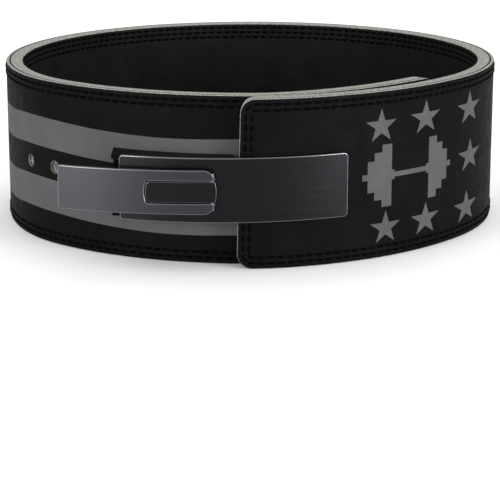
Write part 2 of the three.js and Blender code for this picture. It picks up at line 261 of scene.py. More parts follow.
def circle_through(left, right, radius):
    """Centre of the circle that bulges to the front through two plan points."""
    half = (right - left).length / 2
    along = (right - left).normalized()
    inward = Vector((-along.y, along.x))
    return (left + right) / 2 + inward * math.sqrt(radius * radius - half * half)


def circle_radius(centre, radius, turn):
    """Distance from the waist's axis to a circle, along a turn."""
    ray = plan_point(turn, 1)
    along = ray.dot(centre)
    return along + math.sqrt(along * along - centre.length_squared + radius * radius)


def seated_hook_centre():
    """Centre of the hook plate's curve, pushed out until the plate's back just clears the outer lap."""
    centre = circle_through(
        plan_point(HOOK_LEFT_TURN, strap_radius(HOOK_LEFT_TURN + 360) + HOOK_LIFT + HOOK_THICKNESS),
        plan_point(HOOK_RIGHT_TURN, strap_radius(HOOK_RIGHT_TURN) + HOOK_SEAT_GAP + HOOK_THICKNESS),
        HOOK_RADIUS,
    )
    span = HOOK_RIGHT_TURN - OUTER_END_TURN
    count = math.ceil(span / HOOK_TURN_STEP)
    turns = [OUTER_END_TURN + span * index / count for index in range(count + 1)]
    back = HOOK_RADIUS - HOOK_THICKNESS
    clearance = min(circle_radius(centre, back, turn) - strap_radius(turn) for turn in turns)
    return centre + plan_point(0, HOOK_SEAT_GAP - clearance)


HOOK_CENTRE = seated_hook_centre()
HOOK_LEFT = plan_point(HOOK_LEFT_TURN, circle_radius(HOOK_CENTRE, HOOK_RADIUS, HOOK_LEFT_TURN)).x
HOOK_RIGHT = plan_point(HOOK_RIGHT_TURN, circle_radius(HOOK_CENTRE, HOOK_RADIUS, HOOK_RIGHT_TURN)).x

# The lever lies from its tip to its heel over the hook plate
PIN_RISE = math.sqrt(HOOK_RADIUS ** 2 - (LEVER_PIN_X - HOOK_CENTRE.x) ** 2)
UNDER_PIN = Vector((LEVER_PIN_X, HOOK_CENTRE.y - PIN_RISE))
HEEL_TURN = math.degrees(math.atan2(UNDER_PIN.x, -UNDER_PIN.y))
HEEL_FACE = UNDER_PIN.length + LEVER_GAP + LEVER_HEEL_THICKNESS
TIP_FACE = strap_radius(LEVER_TIP_TURN + 360) + LEVER_TIP_STAND_OFF
LEVER_FACE_CENTRE = circle_through(
    plan_point(LEVER_TIP_TURN, TIP_FACE),
    plan_point(HEEL_TURN, HEEL_FACE),
    LEVER_RADIUS,
)
LEVER_BACK_CENTRE = circle_through(
    plan_point(LEVER_TIP_TURN, TIP_FACE - LEVER_TIP_THICKNESS),
    plan_point(HEEL_TURN, HEEL_FACE - LEVER_HEEL_THICKNESS),
    LEVER_RADIUS,
)
LEVER_PIN = plan_point(HEEL_TURN, HEEL_FACE - LEVER_HEEL_THICKNESS / 2)
LEVER_LEFT = plan_point(LEVER_TIP_TURN, TIP_FACE).x
LEVER_RIGHT = LEVER_PIN.x + HEEL_REACH


# Places of points on curved faces

def strap_place(outer_depth, inner_depth):
    """Puts a point of a strap layer in space: u along it, v up, and a depth below one of its faces."""
    def place(u, v, side, depth):
        turn = turn_at(u)
        below = inner_depth - depth if side else outer_depth + depth
        point = AXIS + plan_point(turn, interpolate(STRAP_TURNS, STRAP_RADII, turn) - below)
        return Vector((point.x, point.y, v))
    return place


def circle_place(outer_centre, outer_radius, inner_centre, inner_radius):
    """Puts a point of a curved plate in space: u is X, v is up, and a depth below one of its faces."""
    def place(u, v, side, depth):
        centre, radius = (inner_centre, inner_radius) if side else (outer_centre, outer_radius)
        across = u - centre.x
        point = Vector((u, centre.y - math.sqrt(radius * radius - across * across)))
        inward = (centre - point).normalized() * (-depth if side else depth)
        return Vector((*(AXIS + point + inward), v))
    return place


# Outlines, drawn anticlockwise as seen from outside

def arc(centre_u, centre_v, radius, start, end, count):
    angles = [math.radians(start + (end - start) * index / count) for index in range(count + 1)]
    return [(centre_u + radius * math.cos(a), centre_v + radius * math.sin(a)) for a in angles]


def between(start, end, count):
    """Points between two ends, without the ends themselves."""
    return [
        tuple(a + (b - a) * index / count for a, b in zip(start, end))
        for index in range(1, count)
    ]


def strap_outline(columns, end_rows, corner_steps):
    """The strap's outline at a given inset: round corners, and end edges that lean."""
    left, right = length_at(OUTER_END_TURN), length_at(TAIL_END_TURN)

    def outline(inset):
        radius = max(END_CORNER_RADIUS - inset, SMALLEST_CORNER)
        low = inset + radius
        high = STRAP_HEIGHT - low
        near, far = left + low, right - low
        corners = (
            arc(near - END_LEAN, low, radius, 180, 270, corner_steps),
            arc(far + END_LEAN, low, radius, 270, 360, corner_steps),
            arc(far - END_LEAN, high, radius, 0, 90, corner_steps),
            arc(near + END_LEAN, high, radius, 90, 180, corner_steps),
        )
        counts = (columns, end_rows, columns, end_rows)
        loop = []
        for index, corner in enumerate(corners):
            following = corners[(index + 1) % 4]
            loop += corner + between(corner[-1], following[0], counts[index])
        return loop
    return outline


def inset_outline(points):
    """A closed outline that moves inwards, each corner along its own bisector."""
    count = len(points)
    vectors = [Vector(point) for point in points]
    shifts = []
    for index, point in enumerate(vectors):
        before = (point - vectors[index - 1]).normalized()
        after = (vectors[(index + 1) % count] - point).normalized()
        normal = Vector((-before.y - after.y, before.x + after.x)).normalized()
        share = max(0.3, normal.dot(Vector((-after.y, after.x))))
        shifts.append(normal / share)

    def outline(inset):
        return [tuple(point + shift * inset) for point, shift in zip(vectors, shifts)]
    return outline


def split_edges(points, step):
    """A closed outline with its long edges cut into steps."""
    loop = []
    for index, point in enumerate(points):
        following = points[(index + 1) % len(points)]
        length = (Vector(following) - Vector(point)).length
        loop += [point] + between(point, following, max(1, math.ceil(length / step)))
    return loop


def circle_outline(u, v, radius, count):
    def outline(inset):
        return arc(u, v, radius + inset, 0, 360 - 360 / count, count - 1)
    return outline


def disc_outline(u, v, radius, count):
    """A circle that shrinks with its inset, where a hole's circle grows."""
    hole = circle_outline(u, v, radius, count)
    return lambda inset: hole(-inset)


# Meshes

# Sides of a slab
OUTER, INNER = 0, 1


def make_object(name, verts, faces, face_materials, materials, normals=None):
    mesh = bpy.data.meshes.new(name)
    mesh.from_pydata(verts, [], faces)
    for material in materials:
        mesh.materials.append(material)
    mesh.polygons.foreach_set("material_index", face_materials)
    mesh.polygons.foreach_set("use_smooth", [True] * len(faces))
    mesh.update()
    mesh.set_sharp_from_angle(angle=math.radians(50))
    if normals:
        own = [normals.get(vertex.index, (0, 0, 0)) for vertex in mesh.vertices]
        mesh.normals_split_custom_set_from_vertices(own)
    made = bpy.data.objects.new(name, mesh)
    bpy.context.scene.collection.objects.link(made)
    return made


def slab(
    name, outline, rings, place, materials,
    holes=(), hole_rings=(), marks=(), grid=(), caps=(0, 0),
):
    """A closed curved slab.

    outline(inset) gives the loop at an inset. rings has rows of inset, side, depth and the material of the
    band to the next row, from the outer cap over the edge to the inner cap. Each hole is a circle outline,
    with hole_rings of the same kind. marks are closed loops on the outer cap with a material of their own.
    grid has the points that let the caps follow the curve. caps gives the material of each cap.
    """
    verts, faces, face_materials, normals = [], [], [], {}

    def add_vertex(u, v, side, depth):
        verts.append(place(u, v, side, depth))
        return len(verts) - 1

    def add_face(corners, material):
        faces.append(corners)
        face_materials.append(material)

    def add_bands(loop_at, rows, inwards):
        loops = []
        for inset, side, depth, _ in rows:
            points = loop_at(inset)
            loops.append((points, [add_vertex(u, v, side, depth) for u, v in points]))
        for index in range(len(rows) - 1):
            near, far = loops[index][1], loops[index + 1][1]
            if inwards:
                near, far = far, near
            count = len(near)
            for j in range(count):
                k = (j + 1) % count
                add_face((near[j], far[j], far[k], near[k]), rows[index][3])
        return loops[0], loops[-1]

    edge = add_bands(outline, rings, False)
    openings = [add_bands(hole, hole_rings, True) for hole in holes]
    for side in (OUTER, INNER):
        points, numbers = list(edge[side][0]), list(edge[side][1])
        loops = [list(range(len(points)))]
        for opening in openings:
            loops.append(list(range(len(points), len(points) + len(opening[side][0]))))
            points += opening[side][0]
            numbers += opening[side][1]
        known = len(points)
        for mark, _ in marks if side == OUTER else ():
            loops.append(list(range(len(points), len(points) + len(mark))))
            points += mark
        points += list(grid)
        scaled = [Vector(point) * MILLIMETRES for point in points]
        found = delaunay_2d_cdt(scaled, [], loops, 0, CAP_TOLERANCE)
        cap_verts, _, cap_faces, from_verts, _, from_faces = found
        cap = {}
        for index in range(len(cap_verts)):
            old = [number for number in from_verts[index] if number < known]
            if old:
                cap[index] = numbers[old[0]]
        for corners, owners in zip(cap_faces, from_faces):
            if 0 not in owners or any(0 < owner <= len(openings) for owner in owners):
                continue
            for corner in corners:
                if corner not in cap:
                    u, v = cap_verts[corner] / MILLIMETRES
                    cap[corner] = add_vertex(u, v, side, 0)
            material = caps[side]
            for owner in owners:
                if owner > len(openings):
                    material = marks[owner - len(openings) - 1][1]
            ordered = [cap[corner] for corner in corners]
            add_face(tuple(ordered if side == OUTER else reversed(ordered)), material)
        for index, number in cap.items():
            u, v = cap_verts[index] / MILLIMETRES
            ahead = place(u + SLOPE_STEP, v, side, 0) - place(u - SLOPE_STEP, v, side, 0)
            normal = ahead.cross(Vector((0, 0, 1))).normalized()
            normals[number] = normal if side == OUTER else -normal
    return make_object(name, verts, faces, face_materials, materials, normals)


def rounded_edge(radius, steps, side, material):
    """Rows of a rounded edge: from the cap to the wall on the outer side, the other way on the inner."""
    rows = []
    for index in range(steps + 1):
        angle = math.pi / 2 * index / steps
        rows.append((radius * (1 - math.sin(angle)), side, radius * (1 - math.cos(angle)), material))
    return rows if side == OUTER else rows[::-1]


def plate_rings(radius, steps=3, edge=0):
    """Rows of a plate with two rounded edges, where the outer edge may have a material of its own: on the
    buckle, a paler metal that paints an edge highlight.
    """
    outer = rounded_edge(radius, steps, OUTER, edge)
    outer[-1] = (*outer[-1][:3], 0)
    return outer + rounded_edge(radius, steps, INNER, 0)


def column_grid(left, right, bottom, top, across, up):
    """Grid points inside a rectangle."""
    columns = max(2, math.ceil((right - left) / across))
    rows = max(1, math.ceil((top - bottom) / up))
    return [
        (left + (right - left) * i / columns, bottom + (top - bottom) * j / rows)
        for i in range(1, columns)
        for j in range(1, rows)
    ]


# Form of one thread: how far along it, its width in thread radii, and how far it lies above the face
THREAD_FORM = ((0, 0.3, -1), (0.12, 0.85, -0.35), (0.5, 1, 0), (0.88, 0.85, -0.35), (1, 0.3, -1))
THREAD_SIDES = 6


def stitch_row(verts, faces, loop, place, side, pitch, length, radius):
    """Adds short threads along a closed loop, each sunk at its two ends."""
    half_step = SLOPE_STEP / 2
    ends = [Vector(point) for point in loop] + [Vector(loop[0])]
    reached = [0.0]
    for before, after in zip(ends, ends[1:]):
        reached.append(reached[-1] + (after - before).length)
    count = round(reached[-1] / pitch)
    step = reached[-1] / count
    segment = 0
    outward = -1 if side == INNER else 1
    for number in range(count):
        rings = []
        for share, width, lift in THREAD_FORM:
            distance = min(number * step + share * length, reached[-1] - 1e-9)
            while reached[segment + 1] < distance:
                segment += 1
            span = ends[segment + 1] - ends[segment]
            point = ends[segment] + span * ((distance - reached[segment]) / span.length)
            ahead = point + span.normalized() * half_step
            here = place(point.x, point.y, side, 0)
            along = (place(ahead.x, ahead.y, side, 0) - here).normalized()
            right = place(point.x + half_step, point.y, side, 0)
            left = place(point.x - half_step, point.y, side, 0)
            normal = (right - left).cross(Vector((0, 0, 1))).normalized() * outward
            across = normal.cross(along)
            centre = here + normal * lift * radius
            base = len(verts)
            for k in range(THREAD_SIDES):
                angle = 2 * math.pi * k / THREAD_SIDES
                verts.append(centre + (across * math.cos(angle) + normal * math.sin(angle)) * radius * width)
            rings.append(list(range(base, base + THREAD_SIDES)))
        for near, far in zip(rings, rings[1:]):
            for k in range(THREAD_SIDES):
                following = (k + 1) % THREAD_SIDES
                faces.append((near[k], near[following], far[following], far[k]))
        faces.append(tuple(reversed(rings[0])))
        faces.append(tuple(rings[-1]))


def stitches(name, outline, place, side, insets, pitch, length, radius, material):
    verts, faces = [], []
    for inset in insets:
        stitch_row(verts, faces, outline(inset), place, side, pitch, length, radius)
    return make_object(name, verts, faces, [0] * len(faces), [material])


# Print

# Each stripe's lower edge at the strap's side, and its height
STRIPES = ((0.0597, 0.0186), (0.0202, 0.0202))
STRIPE_STEP = 1.5
# How far the stripes lie below their height at the strap's side, at each turn
STRIPE_DROP = (
    (225, 0), (290, 0.0016), (299, 0), (309, 0), (323.4, 0.0019), (337.2, 0.0032), (348, 0.0032),
    (356, 0.0026), (366, 0.0026),
)
STAR_DIAMETER = 0.0215
STAR_WAIST = 0.382
# Stars at the front: turn, height of the middle, and how much longer they are drawn along the strap
FRONT_STARS = (
    (29.6, 0.0805, 1.1), (42.8, 0.0816, 1.28), (60, 0.081, 1.5), (60.8, 0.0506, 1.5), (59.6, 0.018, 1.5),
    (43.3, 0.0183, 1.25), (31.1, 0.018, 1.1),
)
# Stars at the right side: turn and height of the middle
SIDE_STARS = (
    (83, 0.0785), (96, 0.0618), (82, 0.0409), (95, 0.0263), (109, 0.0785), (108, 0.0409),
    (121.6, 0.0785), (135.3, 0.0618), (119.8, 0.0409), (133.9, 0.0263),
)
BARBELL_TURN = 38.3
BARBELL_MIDDLE = 0.0502
BARBELL_LENGTH = 0.074
# Steps of the barbell from its end to its bar: share of its half length, and half height
BARBELL_FORM = (
    (1, 0.0018), (0.9, 0.0018), (0.9, 0.0095), (0.77, 0.0095), (0.77, 0.0145), (0.62, 0.0145), (0.62, 0.019),
    (0.42, 0.019), (0.42, 0.003), (0.36, 0.003), (0.36, 0.0015),
)
BACK_TURN = 182
BACK_MIDDLE = 0.052
BACK_STAR_DIAMETER = 0.034
# Laurel branches beside the star at the back, measured from the star's middle
LAUREL_START = 0.024
LAUREL_REACH = 0.1
LAUREL_DROP = 0.013
LAUREL_RISE = 0.02
LAUREL_BEND = 1.4
LAUREL_PAIRS = 8
STEM_FOOT = 0.0012
STEM_TAPER = 0.0006
# The two leaves of a pair: lean from the stem in degrees, and height of the foot above the stem
LEAF_PAIR = ((40, 0.0022), (-38, -0.001))
LEAF_LENGTH = 0.0125
LEAF_SHRINK = 0.003
LEAF_WIDTH = 0.0048
TIP_LEAF_LENGTH = 0.0105
TIP_LEAF_WIDTH = 0.0046
# Outline of a leaf: share of its length, and share of its width
LEAF_FORM = ((0, 0), (0.15, -0.3), (0.4, -0.5), (0.7, -0.35), (1, 0), (0.7, 0.35), (0.4, 0.5), (0.15, 0.3))
PRINT_STEP = 0.003


def star(u, v, diameter, width=1.0):
    """A five-pointed star, which may be drawn wider along the strap."""
    points = []
    for index in range(10):
        reach = diameter / 2 * (1 if index % 2 == 0 else STAR_WAIST)
        angle = math.radians(90 + 36 * index)
        points.append((u + width * reach * math.cos(angle), v + reach * math.sin(angle)))
    return points


def stripe(bottom, height):
    """A stripe along the strap, from beside its back to under its outer end."""
    start, end = STRIPE_DROP[0][0], STRIPE_DROP[-1][0]
    count = round((end - start) / STRIPE_STEP)
    turns = [start + STRIPE_STEP * index for index in range(count + 1)]
    lower = [(length_at(turn), bottom - value_at(STRIPE_DROP, turn)) for turn in turns]
    return lower + [(u, v + height) for u, v in reversed(lower)]


def leaf(foot, direction, length, width):
    """A pointed leaf from its foot."""
    along = Vector((math.cos(math.radians(direction)), math.sin(math.radians(direction))))
    across = Vector((-along.y, along.x))
    return [tuple(Vector(foot) + along * length * a + across * width * b) for a, b in LEAF_FORM]


def barbell(u, v, length):
    """A plain barbell as one outline, mirrored about its middle."""
    upper = [(length / 2 * share, height) for share, height in BARBELL_FORM]
    loop = [(a, -b) for a, b in reversed(upper)] + upper
    loop += [(-a, b) for a, b in reversed(upper)] + [(-a, -b) for a, b in upper]
    return [(u + a, v + b) for a, b in loop]


def laurel(u, v, mirrored):
    """One branch: a thin stem that curves upwards, with pairs of leaves and one at its tip."""
    sign = -1 if mirrored else 1

    def stem(share):
        along = LAUREL_START + (LAUREL_REACH - LAUREL_START) * share
        return (u + sign * along, v - LAUREL_DROP + LAUREL_RISE * share ** LAUREL_BEND)

    def turned(direction):
        return 180 - direction if mirrored else direction

    lower = [stem(index / LAUREL_PAIRS) for index in range(LAUREL_PAIRS + 1)]
    upper = [(a, b + STEM_FOOT - STEM_TAPER * index / LAUREL_PAIRS) for index, (a, b) in enumerate(lower)]
    shapes = [upper + lower[::-1] if mirrored else lower + upper[::-1]]
    for index in range(LAUREL_PAIRS):
        share = (index + 0.5) / LAUREL_PAIRS
        foot = stem(share)
        rise = 8 + 22 * share
        for lean, offset in LEAF_PAIR:
            place = (foot[0], foot[1] + offset)
            shapes.append(leaf(place, turned(rise + lean), LEAF_LENGTH - LEAF_SHRINK * share, LEAF_WIDTH))
    tip = stem(1)
    tip_foot = (tip[0] + sign * 0.001, tip[1] + 0.0006)
    shapes.append(leaf(tip_foot, turned(30), TIP_LEAF_LENGTH, TIP_LEAF_WIDTH))
    return shapes


def print_marks():
    """All printed shapes as closed loops along the strap's length and height."""
    shapes = [stripe(bottom, height) for bottom, height in STRIPES]
    shapes += [star(length_at(turn), height, STAR_DIAMETER, width) for turn, height, width in FRONT_STARS]
    shapes += [star(length_at(turn), height, STAR_DIAMETER) for turn, height in SIDE_STARS]
    shapes.append(barbell(length_at(BARBELL_TURN), BARBELL_MIDDLE, BARBELL_LENGTH))
    back = length_at(BACK_TURN)
    shapes.append(star(back, BACK_MIDDLE, BACK_STAR_DIAMETER))
    shapes += laurel(back, BACK_MIDDLE, False)
    shapes += laurel(back, BACK_MIDDLE, True)
    return [(split_edges(shape, PRINT_STEP), PRINTED) for shape in shapes]


# Materials

def colour(red, green, blue):
    """Linear colour from 0 to 255 display values."""
    def linear(value):
        share = value / 255
        return share / 12.92 if share <= 0.04045 else ((share + 0.055) / 1.055) ** 2.4
    return (linear(red), linear(green), linear(blue), 1)


def new_material(name):
    material = bpy.data.materials.new(name)
    material.use_nodes = True
    nodes = material.node_tree.nodes
    return material, nodes, material.node_tree.links, nodes["Principled BSDF"]


def add_noise(nodes, links, scale, detail=4, roughness=0.5, stretch=None):
    place = nodes.new("ShaderNodeTexCoord")
    noise = nodes.new("ShaderNodeTexNoise")
    noise.inputs["Scale"].default_value = scale
    noise.inputs["Detail"].default_value = detail
    noise.inputs["Roughness"].default_value = roughness
    source = place.outputs["Object"]
    if stretch:
        mapping = nodes.new("ShaderNodeMapping")
        mapping.inputs["Scale"].default_value = stretch
        links.new(source, mapping.inputs["Vector"])
        source = mapping.outputs["Vector"]
    links.new(source, noise.inputs["Vector"])
    return noise.outputs["Fac"]


def add_cells(nodes, links, scale):
    place = nodes.new("ShaderNodeTexCoord")
    cells = nodes.new("ShaderNodeTexVoronoi")
    cells.inputs["Scale"].default_value = scale
    links.new(place.outputs["Object"], cells.inputs["Vector"])
    return cells.outputs["Distance"]


def add_ramp(nodes, links, source, stops):
    ramp = nodes.new("ShaderNodeValToRGB")
    ramp.color_ramp.elements[0].position, ramp.color_ramp.elements[0].color = stops[0]
    ramp.color_ramp.elements[1].position, ramp.color_ramp.elements[1].color = stops[-1]
    for position, tint in stops[1:-1]:
        ramp.color_ramp.elements.new(position).color = tint
    links.new(source, ramp.inputs["Fac"])
    return ramp.outputs["Color"]


def add_range(nodes, links, source, low, high, start=0.3, end=0.7):
    spread = nodes.new("ShaderNodeMapRange")
    spread.inputs["From Min"].default_value = start
    spread.inputs["From Max"].default_value = end
    spread.inputs["To Min"].default_value = low
    spread.inputs["To Max"].default_value = high
    links.new(source, spread.inputs["Value"])
    return spread.outputs["Result"]


def add_bump(nodes, links, height, distance, strength, previous=None):
    bump = nodes.new("ShaderNodeBump")
    bump.inputs["Distance"].default_value = distance
    bump.inputs["Strength"].default_value = strength
    links.new(height, bump.inputs["Height"])
    if previous:
        links.new(previous, bump.inputs["Normal"])
    return bump.outputs["Normal"]


def leather(name, dark, light, roughness, grain=0.5):
    """Dyed leather: fine pebbled grain, faint mottling and slightly uneven gloss."""
    material, nodes, links, shader = new_material(name)
    mottling = add_noise(nodes, links, 45, 5, 0.6)
    links.new(add_ramp(nodes, links, mottling, ((0.3, dark), (0.7, light))), shader.inputs["Base Color"])
    gloss = add_noise(nodes, links, 130, 3)
    links.new(add_range(nodes, links, gloss, roughness - 0.06, roughness + 0.08), shader.inputs["Roughness"])
    pebbles = add_bump(nodes, links, add_cells(nodes, links, 950), 0.0001, grain)
    creases = add_bump(nodes, links, add_noise(nodes, links, 420, 4), 0.00012, grain * 0.8, pebbles)
    links.new(creases, shader.inputs["Normal"])
    shader.inputs["Specular IOR Level"].default_value = 0.025
    return material


def raw_leather(name):
    """Cut leather edge: pale fibres with darker flecks."""
    material, nodes, links, shader = new_material(name)
    fibres = add_noise(nodes, links, 700, 5, 0.65)
    stops = ((0.3, colour(72, 71, 68)), (0.5, colour(118, 117, 112)), (0.72, colour(166, 164, 157)))
    links.new(add_ramp(nodes, links, fibres, stops), shader.inputs["Base Color"])
    shader.inputs["Roughness"].default_value = 0.85
    links.new(add_bump(nodes, links, fibres, 0.0001, 0.6), shader.inputs["Normal"])
    shader.inputs["Specular IOR Level"].default_value = 0.2
    return material


def thread():
    material, _, _, shader = new_material("thread")
    shader.inputs["Base Color"].default_value = colour(2, 2, 2)
    shader.inputs["Roughness"].default_value = 0.7
    shader.inputs["Specular IOR Level"].default_value = 0.02
    return material


def metal(name, tint, roughness):
    """Satin metal, faintly brushed along its length."""
    material, nodes, links, shader = new_material(name)
    shader.inputs["Base Color"].default_value = tint
    shader.inputs["Metallic"].default_value = 1
    streak = 0.07
    brushing = add_noise(nodes, links, 60, 4, 0.6, (0.5, 0.5, 12))
    gloss = add_range(nodes, links, brushing, roughness - streak, roughness + streak)
    links.new(gloss, shader.inputs["Roughness"])
    fine = add_noise(nodes, links, 1500, 2)
    links.new(add_bump(nodes, links, fine, 0.00002, 0.25), shader.inputs["Normal"])
    return material


# Pieces

# Material numbers on the facing and on the core
BLACK, PRINTED, FLESH = 0, 1, 2
CUT, DYED = 0, 1
GROOVE_DEPTH = 0.0005
OUTER_ROWS = (0.0033, 0.0068)
INNER_ROWS = (0.003, 0.0065, 0.01)
STITCH_PITCH = 0.006
STITCH_LENGTH = 0.0047
THREAD_RADIUS = 0.00105
STRAP_COLUMN = 0.003
STRAP_MARGIN = 0.014
HOLE_MARGIN = 0.0016

# Section of a stitch groove: distance from its middle in thread radii, and depth as a share of GROOVE_DEPTH
GROOVE_FORM = (
    (1.45, 0), (1.1, -0.45), (0.75, 0), (0.4, 0.8), (0, 1),
    (-0.4, 0.8), (-0.75, 0), (-1.1, -0.45), (-1.45, 0),
)


def groove_rings(insets, side, material):
    """Rows that press a shallow groove with raised lips along each stitch row, the innermost row first."""
    rows = [
        (inset + across * THREAD_RADIUS, side, share * GROOVE_DEPTH, material)
        for inset in sorted(insets, reverse=True)
        for across, share in GROOVE_FORM
    ]
    return rows if side == OUTER else rows[::-1]


def strap_slab(name, outer_depth, inner_depth, rings, hole_rings, materials, marks, caps):
    left, right = length_at(OUTER_END_TURN), length_at(TAIL_END_TURN)
    outline = strap_outline(math.ceil((right - left) / STRAP_COLUMN), 30, 6)
    centres = [(length_at(turn), HOLE_LINE) for turn in HOLE_TURNS + END_HOLE_TURNS]
    holes = [circle_outline(u, v, HOLE_DIAMETER / 2, 24) for u, v in centres]
    low, high = STRAP_MARGIN, STRAP_HEIGHT - STRAP_MARGIN
    points = column_grid(left + STRAP_MARGIN, right - STRAP_MARGIN, low, high, STRAP_COLUMN, 0.008)
    grid = [
        point for point in points
        if all(math.dist(point, centre) > HOLE_DIAMETER / 2 + HOLE_MARGIN for centre in centres)
    ]
    place = strap_place(outer_depth, inner_depth)
    return slab(name, outline, rings, place, materials, holes, hole_rings, marks, grid, caps), outline, place


black_leather = leather("black_leather", colour(7, 7, 8), colour(11, 11, 12), 0.58)
printed_leather = leather("printed_leather", colour(67, 67, 68), colour(73, 73, 74), 0.6, 0.4)
inside_leather = leather("inside_leather", colour(16, 16, 17), colour(23, 23, 24), 0.62)
cut_leather = raw_leather("cut_leather")
black_thread = thread()

facing_rings = (
    groove_rings(OUTER_ROWS, OUTER, BLACK)
    + rounded_edge(FACING_EDGE, 4, OUTER, BLACK)[:2]
    + rounded_edge(FACING_EDGE, 4, OUTER, FLESH)[2:]
    + rounded_edge(FACING_BACK_EDGE, 2, INNER, BLACK)
)
facing_hole_rings = (
    rounded_edge(FACING_HOLE_EDGE, 3, OUTER, BLACK)[:-1]
    + [(0, OUTER, FACING_HOLE_EDGE, FLESH)]
    + rounded_edge(HIDDEN_EDGE, 1, INNER, FLESH)
)
facing, facing_outline, facing_place = strap_slab(
    "facing_leather", 0, FACING_THICKNESS, facing_rings, facing_hole_rings,
    (black_leather, printed_leather, cut_leather), print_marks(), (BLACK, FLESH),
)
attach(facing, "belt")
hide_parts("strap_facing")

CORE_OUTER = FACING_THICKNESS + GLUE_GAP
core_inside_edge = rounded_edge(CORE_INSIDE_EDGE, 4, INNER, CUT)
core_rings = (
    rounded_edge(CORE_EDGE, 2, OUTER, DYED)[:-1]
    + [(0, OUTER, CORE_EDGE, CUT)]
    + core_inside_edge[:3]
    + [(inset, side, depth, DYED) for inset, side, depth, _ in core_inside_edge[3:]]
    + groove_rings(INNER_ROWS, INNER, DYED)
)
core_hole_rings = rounded_edge(HIDDEN_EDGE, 1, OUTER, CUT) + rounded_edge(CORE_HOLE_EDGE, 3, INNER, CUT)
core, core_outline, core_place = strap_slab(
    "core_leather", CORE_OUTER, STRAP_THICKNESS, core_rings, core_hole_rings,
    (cut_leather, inside_leather), (), (CUT, DYED),
)
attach(core, "belt")
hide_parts("strap_core")


def sunk(place, depth):
    return lambda u, v, side, extra: place(u, v, side, extra + depth)


outer_stitches = stitches(
    "outer_stitches", facing_outline, sunk(facing_place, GROOVE_DEPTH * 0.6), OUTER, OUTER_ROWS,
    STITCH_PITCH, STITCH_LENGTH, THREAD_RADIUS, black_thread,
)
inner_stitches = stitches(
    "inner_stitches", core_outline, sunk(core_place, GROOVE_DEPTH * 0.6), INNER, INNER_ROWS,
    STITCH_PITCH, STITCH_LENGTH, THREAD_RADIUS, black_thread,
)
for piece in (outer_stitches, inner_stitches):
    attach(piece, "belt")


# Buckle

def arched_end(edge, rise, corner, height, side, upwards, steps=28):
    """One upright end of a front outline: arched outwards by a rise, with its two corners rounded."""
    half = height / 2
    points = []
    for index in range(steps + 1):
        up = math.sin(math.pi * (index / steps - 0.5)) * upwards
        into_corner = max(0, abs(up) * half - half + corner) / max(corner, 1e-6)
        drawn_in = corner * (1 - math.sqrt(max(0, 1 - into_corner ** 2)))
        points.append((edge - side * (rise * up * up + drawn_in), HOLE_LINE + half * up))
    return points


def joined(name, parts):
    """One object from several meshes that belong to one part."""
    with bpy.context.temp_override(active_object=parts[0], selected_editable_objects=parts):
        bpy.ops.object.join()
    parts[0].name = name
    return parts[0]


def hook_plate(materials):
    corner = HOOK_CORNER
    low, high = HOLE_LINE - HOOK_HEIGHT / 2, HOLE_LINE + HOOK_HEIGHT / 2
    edge = (
        arc(HOOK_LEFT + corner, low + corner, corner, 180, 270, 6)
        + arc(HOOK_RIGHT - corner, low + corner, corner, 270, 360, 6)
        + arc(HOOK_RIGHT - corner, high - corner, corner, 0, 90, 6)
        + arc(HOOK_LEFT + corner, high - corner, corner, 90, 180, 6)
    )
    face = circle_place(HOOK_CENTRE, HOOK_RADIUS, HOOK_CENTRE, HOOK_RADIUS - HOOK_THICKNESS)
    grid = column_grid(HOOK_LEFT + 0.003, HOOK_RIGHT - 0.003, low + 0.003, high - 0.003, 0.002, 0.006)
    outline = inset_outline(split_edges(edge, PLATE_STEP))
    parts = [slab("plate", outline, plate_rings(PLATE_EDGE, edge=1), face, materials, grid=grid)]
    for turn in END_HOLE_TURNS:
        reach = circle_radius(HOOK_CENTRE, HOOK_RADIUS, turn) - HOOK_THICKNESS / 2 - strap_radius(turn)
        place = strap_place(-reach, PRONG_LENGTH)
        prong = disc_outline(length_at(turn), HOLE_LINE, PRONG_DIAMETER / 2, 32)
        parts.append(slab("prong", prong, plate_rings(PLATE_EDGE), place, materials))
    ear_place = circle_place(
        HOOK_CENTRE, HOOK_RADIUS - HOOK_THICKNESS / 2, HOOK_CENTRE, HOOK_RADIUS - HOOK_THICKNESS - EAR_REACH,
    )
    for middle in (HOLE_LINE - EAR_OFFSET, HOLE_LINE + EAR_OFFSET):
        near, far = EAR_MIDDLE - EAR_WIDTH / 2, EAR_MIDDLE + EAR_WIDTH / 2
        low, high = middle - EAR_THICKNESS / 2, middle + EAR_THICKNESS / 2
        ear = [(near, low), (far, low), (far, high), (near, high)]
        outline = inset_outline(split_edges(ear, PLATE_STEP))
        parts.append(slab("ear", outline, plate_rings(FINE_EDGE, 2), ear_place, materials))
    right = LEVER_RIGHT - TONGUE_GAP
    left = right - TONGUE_LENGTH
    rise = LEVER_ARCH * (TONGUE_HEIGHT / LEVER_HEIGHT) ** 2
    tongue = (
        arched_end(right, rise, 0.0004, TONGUE_HEIGHT, 1, 1)
        + arched_end(left, TONGUE_ARCH, TONGUE_CORNER, TONGUE_HEIGHT, -1, -1)
    )
    sides = circle_place(LEVER_FACE_CENTRE, LEVER_RADIUS, HOOK_CENTRE, HOOK_RADIUS - HOOK_THICKNESS / 2)
    half = TONGUE_HEIGHT / 2 - 0.002
    grid = column_grid(left + 0.004, right - 0.002, HOLE_LINE - half, HOLE_LINE + half, 0.002, 0.004)
    outline = inset_outline(split_edges(tongue, PLATE_STEP))
    rings = plate_rings(FINE_EDGE, edge=1)
    parts.append(slab("tongue", outline, rings, sunk(sides, TONGUE_SINK), materials, grid=grid))
    return joined("hook_plate_satin", parts)


